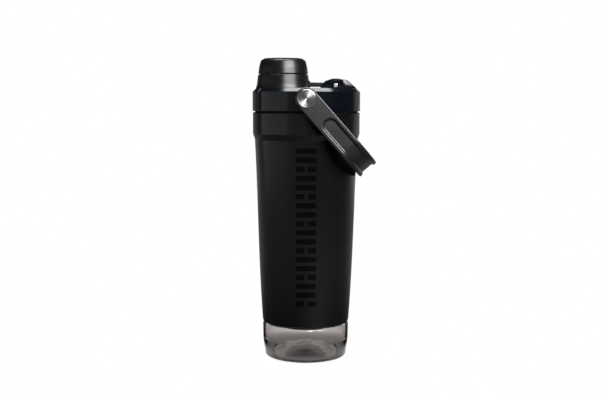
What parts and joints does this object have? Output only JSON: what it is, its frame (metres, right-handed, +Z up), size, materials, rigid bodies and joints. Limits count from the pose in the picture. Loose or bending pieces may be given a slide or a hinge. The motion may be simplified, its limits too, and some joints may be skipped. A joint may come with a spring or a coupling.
{
  "type": "protein shaker bottle",
  "caption": "Insulated shaker bottle with a screw lid, hinged spout cap, swinging carry handle, mixing grid and a screw-on storage cup in its base.",
  "frame": {"origin": "centre of the storage cup's base, on the surface that the bottle stands on", "axes": "+Z up along the bottle's axis; the spout is on the -X side, the cap's hinge and the hanging handle on +X, the pivot screws on -Y and +Y"},
  "size_m": [0.1039, 0.1048, 0.2508],
  "materials": {
    "coat": "fine-textured matt powder coat",
    "steel": "brushed",
    "pin_steel": "turned, bright end",
    "spun_steel": "spun, brushed in circles",
    "lid_plastic": "semi-matt moulded, very fine grain",
    "strap_plastic": "satin moulded, fine grain",
    "inner_plastic": "satin moulded",
    "bush_plastic": "smooth",
    "silicone": "soft matt silicone",
    "smoke": "clear smoke-grey moulding",
    "brass": "turned"
  },
  "bodies": {
    "storage_cup": {"storage_cup": "smoke"},
    "storage_seal": {"storage_seal": "silicone"},
    "vessel": {"outer_shell": "coat", "inner_liner": "steel", "vessel_base": "steel", "getter": "steel", "base_collar": "inner_plastic"},
    "lid_gasket": {"lid_gasket": "silicone"},
    "lid": {"lid_shell": "lid_plastic", "lid_core": "inner_plastic", "spout": "inner_plastic", "mixing_grid": "inner_plastic", "hinge_block": "lid_plastic", "hinge_pin": "pin_steel", "pivot_screw_front": "spun_steel", "pivot_screw_back": "spun_steel", "pivot_bush_front": "bush_plastic", "pivot_bush_back": "bush_plastic", "pivot_insert_front": "brass", "pivot_insert_back": "brass"},
    "cap_arm": {"cap_arm": "strap_plastic"},
    "cap": {"cap_shell": "strap_plastic", "cap_liner": "inner_plastic", "cap_seal": "silicone"},
    "handle": {"handle": "strap_plastic"}
  },
  "joints": [
    {"name": "vessel_lift", "type": "slide", "parent": "storage_cup", "child": "storage_seal", "axis": [0, 0, 1], "range_m": [0, 0.009]},
    {"name": "vessel_turn", "type": "hinge", "parent": "storage_seal", "child": "vessel", "pos_m": [0, 0, 0.035], "axis": [0, 0, 1], "range_deg": [0, 360]},
    {"name": "lid_lift", "type": "slide", "parent": "vessel", "child": "lid_gasket", "axis": [0, 0, 1], "range_m": [0, 0.012]},
    {"name": "lid_turn", "type": "hinge", "parent": "lid_gasket", "child": "lid", "pos_m": [0, 0, 0.2], "axis": [0, 0, 1], "range_deg": [0, 360]},
    {"name": "cap_flip", "type": "hinge", "parent": "lid", "child": "cap_arm", "pos_m": [0.0241, 0, 0.2285], "axis": [0, 1, 0], "range_deg": [0, 130]},
    {"name": "cap_twist", "type": "hinge", "parent": "cap_arm", "child": "cap", "pos_m": [-0.01945, 0, 0.24], "axis": [0, 0, 1], "range_deg": [0, 90]},
    {"name": "handle_swing", "type": "hinge", "parent": "lid", "child": "handle", "pos_m": [0, 0, 0.2173], "axis": [0, -1, 0], "range_deg": [0, 277]}
  ],
  "couplings": [
    {"joint": "vessel_lift", "follows": "vessel_turn", "m_per_rad": 0.0014324},
    {"joint": "lid_lift", "follows": "lid_turn", "m_per_rad": 0.0019099}
  ]
}
